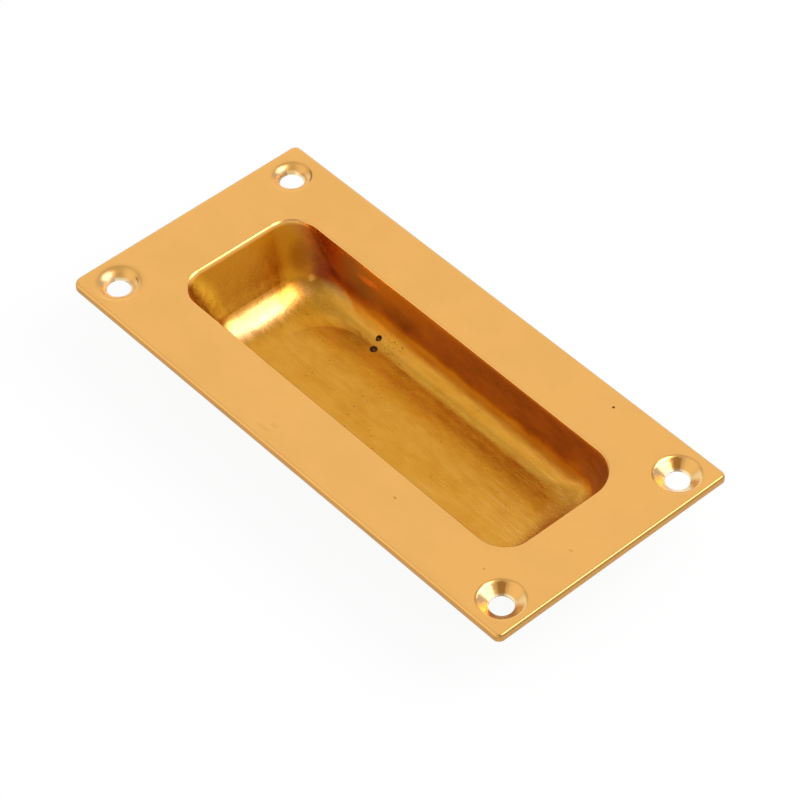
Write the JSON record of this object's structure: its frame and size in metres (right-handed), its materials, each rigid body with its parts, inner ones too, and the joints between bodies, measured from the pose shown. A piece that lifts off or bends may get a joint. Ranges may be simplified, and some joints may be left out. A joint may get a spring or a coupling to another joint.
{
  "type": "flush door pull",
  "caption": "Flat rectangular flush pull with a long finger recess and countersunk screw holes, let into the face of a sliding pocket door.",
  "frame": {"origin": "centre of the four screw holes, on the plate's back face, which lies on the door", "axes": "+X along the plate, +Y across it, +Z out of the door through the plate's face"},
  "size_m": [0.102, 0.0484, 0.0136],
  "materials": {
    "brass": "buffed cast brass"
  },
  "bodies": {
    "root": {"flush_pull": "brass"}
  },
  "joints": []
}
